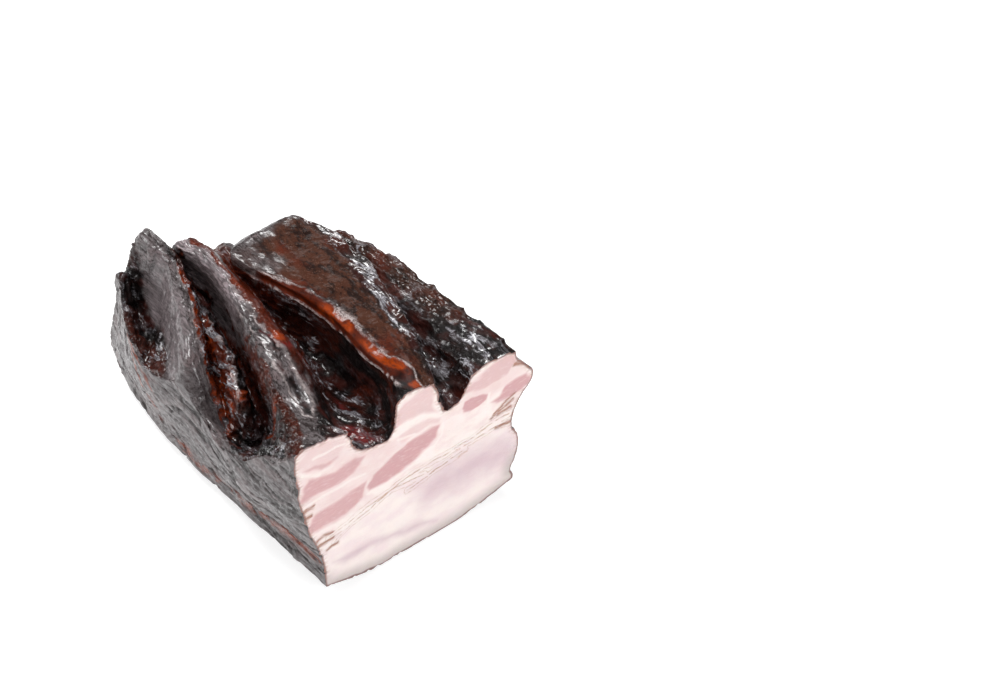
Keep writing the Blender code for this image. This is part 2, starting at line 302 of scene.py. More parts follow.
def bodyRings():
    # closed rings from the cut to the back end: up the left side, over the top, down and under
    t = np.linspace(0, 1, fineness["rows"] + 1)[:, None]
    top = topSurface(t)
    leftEdge, rightEdge = top[:, :1], top[:, -1:]
    leftLow, rightLow = footLine(t, slab["leftFoot"]), footLine(t, slab["rightFoot"])

    def seamShare(low, high):
        return (seamHeight(low[..., 0], low[..., 1]) - low[..., 2]) / (high[..., 2] - low[..., 2])

    def steps(start, end, count):
        return (start + (end - start) * np.linspace(0, 1, count + 1)[None, :])[..., None]

    seamOnLeft, seamOnRight = seamShare(leftLow, leftEdge), seamShare(rightLow, rightEdge)
    leftUpper = leftFlank(leftLow, leftEdge, steps(seamOnLeft, 1, fineness["leftUpper"]))
    rightUpper = rightFlank(rightLow, rightEdge, steps(1, seamOnRight, fineness["rightUpper"]), t)
    rightLower = rightFlank(rightLow, rightEdge, steps(seamOnRight, 0, fineness["rightLower"]), t)
    leftLower = leftFlank(leftLow, leftEdge, steps(0, seamOnLeft, fineness["leftLower"]))
    across = np.linspace(0, 1, fineness["under"] + 1)[None, :]
    x = between(rightLow[..., 0], leftLow[..., 0], across)
    y = t * follow(x, slab["underReach"])
    y[:, 0], y[:, -1] = rightLow[:, 0, 1], leftLow[:, 0, 1]
    under = np.stack([x, y, undersideHeight(x), x], -1)
    parts = (leftUpper, top, rightUpper, rightLower, under, leftLower)
    return np.concatenate([part[:, :-1] for part in parts], 1)


def backRings(last, rows):
    # the last ring shrinks to a pole along a rounded profile and loses its bumps on the way
    smooth = last
    for _ in range(8 + int(3 * (len(last) / 100) ** 2)):
        smooth = (np.roll(smooth, 1, 0) + smooth + np.roll(smooth, -1, 0)) / 3
    pole = np.array([(last[:, 0].min() + last[:, 0].max()) / 2, last[:, 1].mean(), slab["poleHeight"]])
    turn = np.linspace(0, math.pi / 2, 200)
    size, push = np.cos(turn) ** 0.62, np.sin(turn) ** 0.62
    size[-1] = 0
    inwards = np.diff(size, prepend=1) * slab["backReach"]
    backwards = np.diff(push, prepend=0) * slab["backPush"]
    along = np.cumsum(np.hypot(inwards, backwards))
    at = np.linspace(0, along[-1], rows + 1)[1:]
    size, push = np.interp(at, along, size)[:, None, None], np.interp(at, along, push)[:, None, None]
    base = between(last, smooth, ease(0, 1, 1 - size))
    rings = pole + (base - pole) * size + np.array([0.12, 0.95, 0.1]) * slab["backPush"] * push
    return rings


# Noise: smooth random values on a cubic lattice of size-1 cells, from a hash of each corner.
def latticeValue(cell, seed):
    n = cell[..., 0] * 374761393 + cell[..., 1] * 668265263 + cell[..., 2] * 1440662683 + seed * 974634777
    n = n & 0xFFFFFFFF
    n = ((n ^ (n >> 13)) * 1274126177) & 0xFFFFFFFF
    n = ((n ^ (n >> 16)) * 2246822519) & 0xFFFFFFFF
    return (n ^ (n >> 15)) / 0xFFFFFFFF * 2 - 1


def noise(points, cellSize, seed):
    # eight corner values blended by a fifth-power ease, from -1 to 1
    p = np.asarray(points, float)[..., :3] / np.array(cellSize, float)
    cell = np.floor(p).astype(np.int64)
    f = p - cell
    f = f**3 * (f * (f * 6 - 15) + 10)
    total = 0
    for corner in np.ndindex(2, 2, 2):
        weight = np.prod(np.where(np.array(corner) == 1, f, 1 - f), -1)
        total = total + weight * latticeValue(cell + np.array(corner), seed)
    return total


def layeredNoise(points, cellSize, seed, layers=4, fade=0.5):
    # noise added to itself at half the size and less height, layer by layer
    total, height, size = 0, 1.0, np.array(cellSize, float)
    for layer in range(layers):
        total = total + height * noise(points, size, seed + layer)
        height, size = height * fade, size / 2.03
    return total


def ridgedNoise(points, cellSize, seed, layers=3):
    # sharp crests where the noise crosses zero
    total, height, size = 0, 1.0, np.array(cellSize, float)
    for layer in range(layers):
        total = total + height * (1 - 2.6 * np.abs(noise(points, size, seed + layer)))
        height, size = height * 0.5, size / 2.1
    return total


# Lines that part one covering from the next, as ((y, x before the lean), ...).
lines = dict(
    upperPale=(
        (3, 45.7), (10, 48.3), (18, 47.9), (30, 49.3), (36, 49.6), (46, 51.5), (57, 51.4), (61, 50.3),
        (71, 49.3), (82, 46.7), (92, 44),
    ),
    lipBase=(
        (0, 35.2), (8, 39.5), (18, 42.6), (26, 43.9), (33, 44.9), (41, 46.1), (49, 47), (65, 47),
        (72, 45.7), (82, 43),
    ),
    lipHeight=(
        (0, 73.4), (8, 72.2), (18, 69.6), (26, 69.1), (33, 69.4), (41, 69.1), (49, 67.9), (58, 67.6),
        (66, 68.5), (82, 69.5),
    ),
    thirdLeft=(
        (0, -4), (8.5, 1.7), (22, 9.4), (34, 15.6), (43, 20.1), (59, 22.3), (85, 28), (100, 30.2),
        (123, 30.6),
    ),
    thirdRight=(
        (4, 5), (18, 14), (27, 20.5), (39, 25), (47, 27.7), (57, 30), (68, 31.8), (78.5, 34.2), (88, 36.4),
        (100, 40), (111, 39.6), (119, 37.6),
    ),
    thirdPale=((20, 12), (34, 19), (53, 25.7), (68, 28.2), (80, 30.5)),
    secondRight=((58, 1), (75, 5.2), (80, 7), (88, 10), (98, 15.4), (107.5, 17.7), (118, 21.5), (130, 24)),
    step=((57, 8), (62, 9.6), (71, 13.9), (80, 17.3), (88, 18.5), (97, 21)),
    brownRight=(
        (0, 50), (12, 54.2), (25, 57.4), (35, 58.3), (46, 61.7), (67, 64.7), (76, 68.7), (90, 70.7),
        (104, 69),
    ),
    shelfLeft=((0, 70), (12, 72), (36, 75), (60, 78), (105, 78)),
    hollowLeft=((93, -3.1), (105, -1.2), (116, 0.4), (127, 2.4), (142, 9.2)),
    hollowRight=((93, -1.8), (102, 5.2), (114, 9.8), (128, 12.6), (133, 15.1), (141, 18)),
    rimDark=((0, -8), (14, -7.4), (24, -8), (42, -5.9), (50, -4.5), (58, 0), (64, 5)),
)
# red-orange streaks on the left side, as ((y, z), ...) with half their width
streaks = (
    (((0, 17.5), (20, 16.8), (57, 11), (86, 10.2), (105, 16), (117, 34), (123, 45)), 4.2),
    (((100, 27), (107, 34), (114, 38), (120, 44), (128, 50)), 2.4),
)
# separate lumps on the crust: (x before the lean, y, radius, height)
nodules = (
    (9.0, 58.5, 2.2, 1.9), (12.5, 66, 2.4, 1.0), (15.8, 75, 2.6, 1.1), (-5.2, 22.5, 2.4, 1.3),
    (-5.8, 14, 2.2, 1.0), (6.6, 52.5, 2.2, 1.2), (1.5, 33, 2.8, 1.2), (18.5, 128, 2.2, 1.6),
    (5.5, 128, 2.5, 1.0), (2.5, 117, 2.4, 0.9), (33, 34, 4.0, 1.0), (37, 62, 2.6, 1.2),
    (39.5, 70, 2.0, 1.0), (28, 13, 3.0, 0.8), (84.5, 28, 2.0, 0.9),
)


def bump(x, centre, halfWidth):
    # 1 at the centre, falling to 0 past the half width
    return np.clip(1 - ((x - centre) / halfWidth) ** 2, 0, 1)


def span(y, start, end, soft=5.0):
    # 1 from start to end, easing to 0 over the soft length beyond both
    return ease(start - soft, start, y) * (1 - ease(end, end + soft, y))


# How the crust is covered: cells of noise and frayed edges in mm, and (start, end) along the slab.
covering = dict(
    wideCell=(9, 14, 9), fineCell=(2.6, 4.0, 2.6), waver=0.5, fray=0.9, tongues=3.2,
    hollowStart=(88, 98), pocketStart=64, pocketEnd=(122, 130), lipEnd=(86, 94), brownEnd=(98, 105),
    # how hot the lip glows, as ((strength, from y, to y, softness), ...), and at least
    lipHeat=((0.90, 13, 22, 3), (0.80, 0, 3, 2), (0.58, 44, 56, 6), (0.48, 26, 42, 4)), leastHeat=0.16,
    streakGlow=0.62, brownGlow=0.36, shelfBrown=0.8,
)


def placeOf(rings):
    # each point's x before the lean, y and z, a wide and a fine noise, and x or z of every line at its y
    points, y = rings[..., :3], rings[..., 1]
    fine = layeredNoise(points, covering["fineCell"], 61, 3)
    return SimpleNamespace(
        x=rings[..., 3] + covering["waver"] * fine, y=y, z=rings[..., 2], fine=fine,
        jag=covering["fray"] * fine, wide=layeredNoise(points, covering["wideCell"], 11, 3),
        **{name: follow(y, line) for name, line in lines.items()},
    )


def furrowsAt(p):
    # a furrow is where a point is right of one line and left of the next, with a frayed edge
    hollow = ease(*covering["hollowStart"], p.y) * ease(-1.6, -0.2, p.x - p.hollowLeft + p.jag)
    hollow = hollow * ease(-0.8, 0.8, p.hollowRight - p.x + 1.3 * p.fine)
    inner = ease(-0.2, 0.5, p.x - p.secondRight) * ease(-0.6, 1.2, p.step - p.x + 0.6) * span(p.y, 60, 118)
    start = np.maximum(p.rimDark, np.where(p.y > covering["pocketStart"], p.secondRight, -99))
    tongue = covering["tongues"] * np.clip(p.wide + 0.9 * p.fine, 0, 1) * ease(38, 60, p.y)
    pocket = ease(-0.4, 0.8, p.x - start + p.jag) * ease(-0.7, 0.7, p.thirdLeft - p.x + p.jag + tongue)
    pocket = pocket * (1 - ease(*covering["pocketEnd"], p.y))
    overLip = p.z - p.lipHeight
    onLip = ease(-2.4, -1.6, p.x - p.lipBase)
    aboveLine = onLip * ease(-0.25, 0.25, overLip + 0.25 * p.fine)
    trough = ease(-0.3, 1.2, p.x - p.thirdRight + p.jag) * ease(8, 0, p.x - p.upperPale) * (1 - aboveLine)
    channel = ease(-1.2, 1.2, p.x - p.brownRight + 2.2 * p.wide + p.jag)
    groove = bump(p.x, p.thirdPale + 1.9 + 0.8 * p.wide, 1.3) * span(p.y, 20, 66)
    return SimpleNamespace(
        hollow=hollow, inner=inner, pocket=pocket, trough=trough, channel=channel, overLip=overLip,
        onLip=onLip, aboveLine=aboveLine, groove=groove * ease(-0.5, 0.1, p.fine + p.wide),
    )


def brownAt(p, furrow, onCrust):
    # dry brown from the plateau's edge to the channel, fading at the back, and again on the shelf
    brown = onCrust * ease(-0.4, 1.2, p.x - p.upperPale + p.jag) * (1 - furrow.channel)
    brown = brown * (1 - ease(*covering["brownEnd"], p.y + 4 * p.wide))
    brown = brown * (1 - 0.8 * span(p.y, 86, 130, 5) * ease(51.5, 48, p.x + 2 * p.wide))
    shelf = onCrust * furrow.channel * ease(-2, 3, p.x - p.shelfLeft) * ease(24, 40, p.y + 6 * p.wide)
    return np.maximum(brown, shelf * covering["shelfBrown"])


def embersAt(p, furrow, lipBand, brown, onCrust):
    # glowing orange: the most of the lip's heat, red edges, two spots, patches in the brown, and streaks
    heat = sum(strength * span(p.y, start, end, soft) for strength, start, end, soft in covering["lipHeat"])
    heat = np.clip(heat + covering["leastHeat"] + 0.3 * p.wide + 0.2 * p.fine, 0.10, 1)
    ember = lipBand * heat * (0.15 + 0.85 * bump(p.x, p.upperPale - 1.8, 2.0))
    bladeEdge = bump(p.x, p.secondRight + 1.4, 1.5) * span(p.y, 68, 112)
    bladeEdge = bladeEdge * np.clip(0.62 + 0.5 * p.fine, 0, 0.8)
    inside = furrow.inner * np.clip(0.28 + 0.6 * p.fine, 0, 0.6)
    crest = bump(p.x, 10.5, 2.6) * span(p.y, 34, 45, 5) * ease(74, 70, p.z) * 0.6
    knob = bump(p.x, 9.0, 2.4) * bump(p.y, 58.0, 2.6) * 0.8
    backEdge = bump(p.x, p.thirdRight + 0.9, 1.3) * span(p.y, 56, 118) * np.clip(0.50 + 0.3 * p.wide, 0, 1)
    ember = np.maximum(ember, onCrust * np.max([bladeEdge, inside, crest, knob, backEdge], 0))
    patchy = 0.05 + 0.9 * p.wide + 0.5 * span(p.y, 74, 92, 5) * bump(p.x, 50, 9)
    patchy = patchy + 0.25 * bump(p.x, 53, 7) * span(p.y, 12, 34, 9)
    ember = np.maximum(ember, brown * covering["brownGlow"] * np.clip(patchy, 0, 1))
    for line, half in streaks:
        first = line[0][0]
        streak = (1 - onCrust) * bump(p.z, follow(p.y, line) + p.wide, half) * ease(30, 20, p.x)
        streak = streak * (1 - ease(120, 128, p.y)) * ease(first - 1, first + 3, p.y)
        ember = np.maximum(ember, covering["streakGlow"] * streak * np.clip(0.7 + p.fine + p.wide, 0, 1))
    return ember


def rustAt(p, furrow, lipBand, onCrust):
    # red-brown inside the step, on the walls right of the third blade and left of it, and under the lip
    rightWall = ease(-0.5, 1.0, p.x - p.thirdRight) * ease(11, 6, p.x - p.thirdRight + 3 * p.wide)
    rust = furrow.inner + rightWall * ease(30, 60, p.y)
    rust = rust + 0.7 * furrow.pocket * ease(-7, -2, p.x - p.thirdLeft + 2 * p.wide)
    rust = rust + 0.5 * ease(0.2, 0.7, p.wide) * (furrow.trough + furrow.channel)
    rust = np.maximum(rust, 0.85 * lipBand * ease(8, 16, p.y))
    inHollow = 0.5 * span(p.y, 84, 130) * furrow.hollow * ease(0.1, 0.6, p.wide)
    return onCrust * (0.9 * rust + inHollow)


def wineAt(p, onCrust):
    # dark red meat near the cut, and thinly along the trough
    nearCut = np.sqrt(bump(p.x, 24.8 + p.fine, 4.2)) * span(p.y, 4, 16, 3)
    along = 0.8 * bump(p.x, 31, 3) * span(p.y, 30, 60, 6) * ease(-0.1, 0.4, p.wide)
    return onCrust * np.maximum(nearCut, along)


def paleHighlightAt(p, furrow, onCrust):
    # painted highlights as thin pale lines: under and over the lip, and along the edges of the blades
    underLip = furrow.onLip * bump(furrow.overLip, 0.05, 0.28) * span(p.y, 8, 80)
    underLip = underLip * ease(5, 2, p.x - p.lipBase)
    overLip = bump(p.x, p.upperPale, 0.5) * span(p.y, 2, 88) * np.clip(0.7 + p.fine, 0, 1)
    patches = 0.9 * bump(p.x, p.upperPale - 0.2, 2.0) * span(p.y, 26, 54) * ease(-0.1, 0.2, p.fine)
    thin = np.max([
        bump(p.x, p.thirdPale, 0.5) * span(p.y, 18, 78),
        bump(p.x, p.thirdRight - 0.3, 0.5) * span(p.y, 20, 90),
        bump(p.x, p.secondRight, 0.5) * span(p.y, 74, 112),
        bump(p.x, p.step, 1.0) * span(p.y, 60, 92) * ease(-0.1, 0.25, p.fine),
    ], 0)
    thin = 0.8 * thin * np.clip(0.6 + 0.8 * p.fine, 0, 1)
    return onCrust * np.max([underLip, overLip, patches, thin], 0)


def paintedGlintAt(p, furrow):
    # where painted glints may lie: some in every furrow, most in bands along the trough and the channel
    inTrough = 0.35 + bump(p.x, 34, 7) * span(p.y, 16, 50, 6) + 0.7 * bump(p.x, 38, 5) * span(p.y, 52, 78)
    paintedGlint = furrow.hollow * (0.30 + 0.7 * ease(120, 108, p.y)) + 0.30 * furrow.pocket
    paintedGlint = paintedGlint + furrow.trough * ease(1, 7, p.x - p.thirdRight) * inTrough
    paintedGlint = paintedGlint + 0.8 * furrow.trough * bump(p.x, 43, 4) * span(p.y, 56, 76)
    paintedGlint = paintedGlint * (1 - 0.8 * ease(-6, -2, p.x - p.lipBase) * ease(62, 54, p.y))
    paintedGlint = paintedGlint + 0.9 * furrow.inner + 0.5 * furrow.groove
    backBand = bump(p.x, p.brownRight + 5.0, 7.0) * ease(16, 28, p.y)
    frontBand = 1.1 * bump(p.x, 73, 10) * ease(28, 18, p.y)
    paintedGlint = paintedGlint + furrow.channel * (0.24 + 0.85 * (backBand + frontBand))
    spots = bump(p.x, 6.5, 2.4) * span(p.y, 48, 54, 3) + 0.8 * bump(p.x, -4.5, 3.5) * span(p.y, 10, 26, 4)
    return paintedGlint + spots


def litAt(p):
    # painted light on shaded walls: film behind the hollow, and high on the third blade's left wall
    behind = ease(-1, 1.5, p.x - p.hollowRight) * ease(-1, -4, p.x - p.secondRight + p.wide)
    wall = ease(24, 27, p.x) * ease(2.5, -0.5, p.x - p.thirdRight) * ease(38, 46, p.z)
    either = np.maximum(0.45 * behind * span(p.y, 86, 122, 8), wall * span(p.y, 84, 124, 8))
    return either * np.clip(0.9 + 0.5 * p.fine, 0, 1)


def coveringOf(rings, onCrust):
    # every covering as a share from 0 to 1; onCrust is 1 on the furrowed top, and film is what is left over
    p = placeOf(rings)
    furrow = furrowsAt(p)
    pit = onCrust * np.clip(furrow.hollow + furrow.pocket + furrow.trough + furrow.channel, 0, 1)
    brown = brownAt(p, furrow, onCrust)
    lipBand = onCrust * furrow.aboveLine * ease(-0.6, 0.6, p.upperPale - p.x + 0.4)
    lipBand = lipBand * (1 - ease(*covering["lipEnd"], p.y))
    filmAndSheen = np.clip(1 - pit - brown - lipBand - onCrust * furrow.groove, 0, 1)
    lit = onCrust * filmAndSheen * litAt(p)
    cover = dict(
        pit=pit, brown=brown, filmAndSheen=filmAndSheen, lit=lit,
        ember=embersAt(p, furrow, lipBand, brown, onCrust),
        rust=rustAt(p, furrow, lipBand, onCrust),
        wine=wineAt(p, onCrust),
        pale=paleHighlightAt(p, furrow, onCrust),
        paintedGlint=onCrust * np.clip(paintedGlintAt(p, furrow), 0, 1),
        folded=onCrust * np.clip(furrow.channel + 0.7 * furrow.trough, 0, 1),
        upper=onCrust * filmAndSheen * np.clip(ease(46, 62, p.z) + 0.4 * p.wide, 0, 1) * (1 - lit),
    )
    return {name: np.clip(values, 0, 1) for name, values in cover.items()}


def gridNormals(rings):
    # cross product of the two directions of the grid, which wraps round in the second
    across = np.roll(rings, -1, 1) - np.roll(rings, 1, 1)
    along = np.gradient(rings, axis=0)
    normal = np.cross(across, along)
    return normal / np.maximum(np.linalg.norm(normal, axis=-1, keepdims=True), 1e-9)


# relief of the surface: how high each kind is, and how wide, long and tall its cells are, all in mm
relief = dict(
    fibre=0.07, wrinkle=0.17, crease=0.55, fold=0.85, crag=0.80, chip=0.34, swell=0.45, grain=0.12,
    lip=0.45, notch=0.9, bend=2.0,
)
cells = dict(
    fibre=(1.5, 16, 1.6), wrinkle=(1.9, 5.5, 1.9), crease=(4.2, 26, 3.8), fold=(4.0, 18.0, 4.0),
    crag=(3.0, 5.0, 3.0), chip=(1.9, 7.0, 1.9), swell=(8, 13, 8), grain=(1.5, 1.8, 1.5), notch=(5, 2.6, 5),
)
# edges with bites out of them, as (ridge, side, reach)
bittenEdges = (("secondBlade", "right", 2.4), ("thirdBlade", "right", 2.2), ("rim", "left", 2.2))


def addRelief(rings, cover):
    # moves every point along its normal: creases on the film, folds and crags in the pits, grain on top
    points, x, y = rings[..., :3], rings[..., 3], rings[..., 1]
    swell = layeredNoise(points, cells["swell"], 5, 2)
    bent = points + relief["bend"] * swell[..., None] * np.array([1.0, 0.4, 1.0])
    fibre = layeredNoise(points, cells["fibre"], 3, 3)
    crease = ease(0.72, 1.12, ridgedNoise(bent, cells["crease"], 81, 2)) * (1 - 0.5 * cover["onCrust"])
    wrinkle = layeredNoise(bent, cells["wrinkle"], 35, 2)
    fold = np.clip(0.75 * ridgedNoise(bent, cells["fold"], 21, 2), -0.9, 1.1)
    crag = np.clip(0.75 * ridgedNoise(bent, cells["crag"], 25, 2), -0.9, 1.1)
    chip = 0.5 * ridgedNoise(bent, cells["chip"], 27, 2)
    grain = layeredNoise(points, cells["grain"], 31, 2)
    folded = cover["folded"]
    rough = folded * fold + (1 - folded) * crag
    onFilm = relief["fibre"] * fibre + relief["wrinkle"] * wrinkle - relief["crease"] * crease
    inPit = between(relief["crag"], relief["fold"], folded) * rough + relief["chip"] * chip
    grainy = 0.3 + 1.4 * cover["brown"] + 0.3 * cover["pit"]
    height = cover["filmAndSheen"] * onFilm + cover["pit"] * inPit
    height = height + relief["swell"] * swell + relief["grain"] * grain * grainy
    cover["hump"] = ease(-0.1, 0.75, rough + 0.5 * chip)
    cover["crease"] = crease
    bitten = ease(-0.1, 0.6, noise(points, cells["notch"], 91))
    for ridge, side, reach in bittenEdges:
        bite = bump(x, edgeOf(ridge, side, y) - 0.8, reach) * bitten
        height = height - relief["notch"] * bite * cover["onCrust"] * ease(20, 60, y)
    overLip = points[..., 2] - follow(y, lines["lipHeight"])
    pastBase = x - follow(y, lines["lipBase"])
    lowerBead = bump(overLip, 0, 0.7) - 0.8 * bump(overLip, 1.7, 1.2)
    beads = ease(-2.4, -1.6, pastBase) * ease(5, 2, pastBase) * lowerBead
    beads = beads + bump(x, follow(y, lines["upperPale"]), 0.9)
    height = height + relief["lip"] * beads * cover["onCrust"] * span(y, 4, 82, 8)
    for across, along, radius, rise in nodules:
        away = np.hypot(x - across, y - along) / radius
        height = height + cover["onCrust"] * rise * np.sqrt(np.clip(1 - away**2, 0, 1))
    moved = points + gridNormals(points) * height[..., None]
    moved[0, :, 1] = 0
    moved[..., 2] = np.maximum(moved[..., 2], np.minimum(points[..., 2], 0.0))
    return moved


def gridFaces(rows, columns):
    # four corners of every cell of the grid, each the corner before plus one step across or along
    i, j = np.meshgrid(np.arange(rows - 1) * columns, np.arange(columns - 1), indexing="ij")
    return np.stack([i + j, i + j + 1, i + columns + j + 1, i + columns + j], -1).reshape(-1, 4)


def makePiece(name, points, faces, attributes, finish, node):
    # points and faces as one mesh, the numbers that go with each point kept on it
    mesh = bpy.data.meshes.new(name)
    mesh.from_pydata(inMetres(points).reshape(-1, 3), [], faces)
    mesh.validate()
    for key, values in attributes.items():
        layer = mesh.attributes.new(key, "FLOAT", "POINT")
        layer.data.foreach_set("value", values.astype(np.float32).ravel())
    mesh.shade_smooth()
    mesh.materials.append(finish)
    piece = bpy.data.objects.new(name, mesh)
    bpy.context.scene.collection.objects.link(piece)
    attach(piece, "root")
    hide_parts(node)
    print(name, len(faces) * (faces.shape[1] - 2), "triangles")


# Shader maths: a Wire is a socket, and an expression on wires adds Math nodes.
class Wire:
    def __init__(self, finish, socket):
        self.finish = finish
        self.socket = socket

    def maths(self, operation, *values):
        return self.finish.node("ShaderNodeMath", dict(operation=operation), dict(enumerate(values)))

    def __add__(self, other):
        return self.maths("ADD", self, other)

    def __sub__(self, other):
        return self.maths("SUBTRACT", self, other)

    def __rsub__(self, other):
        return self.maths("SUBTRACT", other, self)

    def __mul__(self, other):
        return self.maths("MULTIPLY", self, other)

    def __abs__(self):
        return self.maths("ABSOLUTE", self)

    __radd__ = __add__
    __rmul__ = __mul__

    def most(self, other):
        return self.maths("MAXIMUM", self, other)

    def least(self, other):
        return self.maths("MINIMUM", self, other)

    def rise(self, low, high):
        # 0 below low, 1 above high, eased between
        return self.finish.node(
            "ShaderNodeMapRange", dict(interpolation_type="SMOOTHSTEP"),
            {"Value": self, "From Min": low, "From Max": high},
        )


class Finish:
    def __init__(self, name):
        self.material = bpy.data.materials.new(name)
        self.material.use_nodes = True
        self.tree = self.material.node_tree
        self.tree.nodes.clear()
        place = self.node("ShaderNodeTexCoord", {}, {}, "Object")
        self.here = self.node("ShaderNodeVectorMath", dict(operation="SCALE"), {0: place, "Scale": 1000.0})

    def node(self, kind, settings, inputs, output=0):
        made = self.tree.nodes.new(kind)
        for key, value in settings.items():
            setattr(made, key, value)
        for key, value in inputs.items():
            socket = made.inputs[key]
            if isinstance(value, Wire):
                self.tree.links.new(value.socket, socket)
            elif isinstance(value, tuple) and socket.type == "RGBA":
                socket.default_value = (*value, 1)
            else:
                socket.default_value = value
        return Wire(self, made.outputs[output])

    def carried(self, name):
        return self.node("ShaderNodeAttribute", dict(attribute_name=name), {}, "Fac")

    def noise(self, size, detail=3.0, rough=0.55, shift=(0.0, 0.0, 0.0), bend=0.0):
        # noise whose cells are size = (x, y, z) millimetres
        stretch = tuple(1 / s for s in size)
        settings = dict(operation="MULTIPLY_ADD")
        place = self.node("ShaderNodeVectorMath", settings, {0: self.here, 1: stretch, 2: shift})
        inputs = {"Vector": place, "Scale": 1.0, "Detail": detail, "Roughness": rough, "Distortion": bend}
        return self.node("ShaderNodeTexNoise", dict(noise_dimensions="3D"), inputs)

    def mix(self, share, first, second):
        settings = dict(data_type="RGBA", clamp_factor=True)
        return self.node("ShaderNodeMix", settings, {0: share, 6: first, 7: second}, 2)

    def surface(self, colour, roughness, height, depth, fixed):
        # fixed holds what is the same all over, set on the shader's own sockets, and the coat
        normal = self.node("ShaderNodeBump", {}, {"Strength": 1.0, "Distance": depth, "Height": height})
        inputs = {"Base Color": colour, "Roughness": roughness, "Normal": normal, **fixed}
        shader = self.node("ShaderNodeBsdfPrincipled", {}, inputs)
        end = self.tree.nodes.new("ShaderNodeOutputMaterial")
        self.tree.links.new(shader.socket, end.inputs["Surface"])
        return self.material


crustColours = dict(
    tar=(0.0050, 0.0028, 0.0026),  # nearly black, in the pits
    blood=(0.034, 0.0065, 0.0045),  # dark red-brown between
    filmAndSheen=(0.178, 0.156, 0.160),  # grey greasy film on the smooth sides, its grey partly painted sheen
    # paler film, painted light on shaded walls
    filmPaintedLight=(0.430, 0.345, 0.365),
    filmDeep=(0.050, 0.037, 0.038),
    filmDark=(0.014, 0.008, 0.007),
    filmRose=(0.140, 0.088, 0.088),
    umber=(0.060, 0.0195, 0.0100),  # brown of the plateau
    umberDark=(0.013, 0.0040, 0.0022),
    umberPale=(0.135, 0.070, 0.050),
    amber=(0.28, 0.035, 0.0004),  # glowing orange along the lips
    rust=(0.098, 0.013, 0.003),
    wine=(0.135, 0.010, 0.010),
    # painted glints: silver highlights painted into the colour, from this dim grey to the next
    dimGlint=(0.105, 0.094, 0.103),
    paintedGlint=(0.50, 0.49, 0.53),  # the bright end of the painted glints
    # painted highlights along the lip and the blades' edges
    paintedHighlight=(0.56, 0.48, 0.47),
)
crustShine = dict(specular=0.08, coatRoughness=0.19, coatIor=1.6, bumpDepth=0.0008)


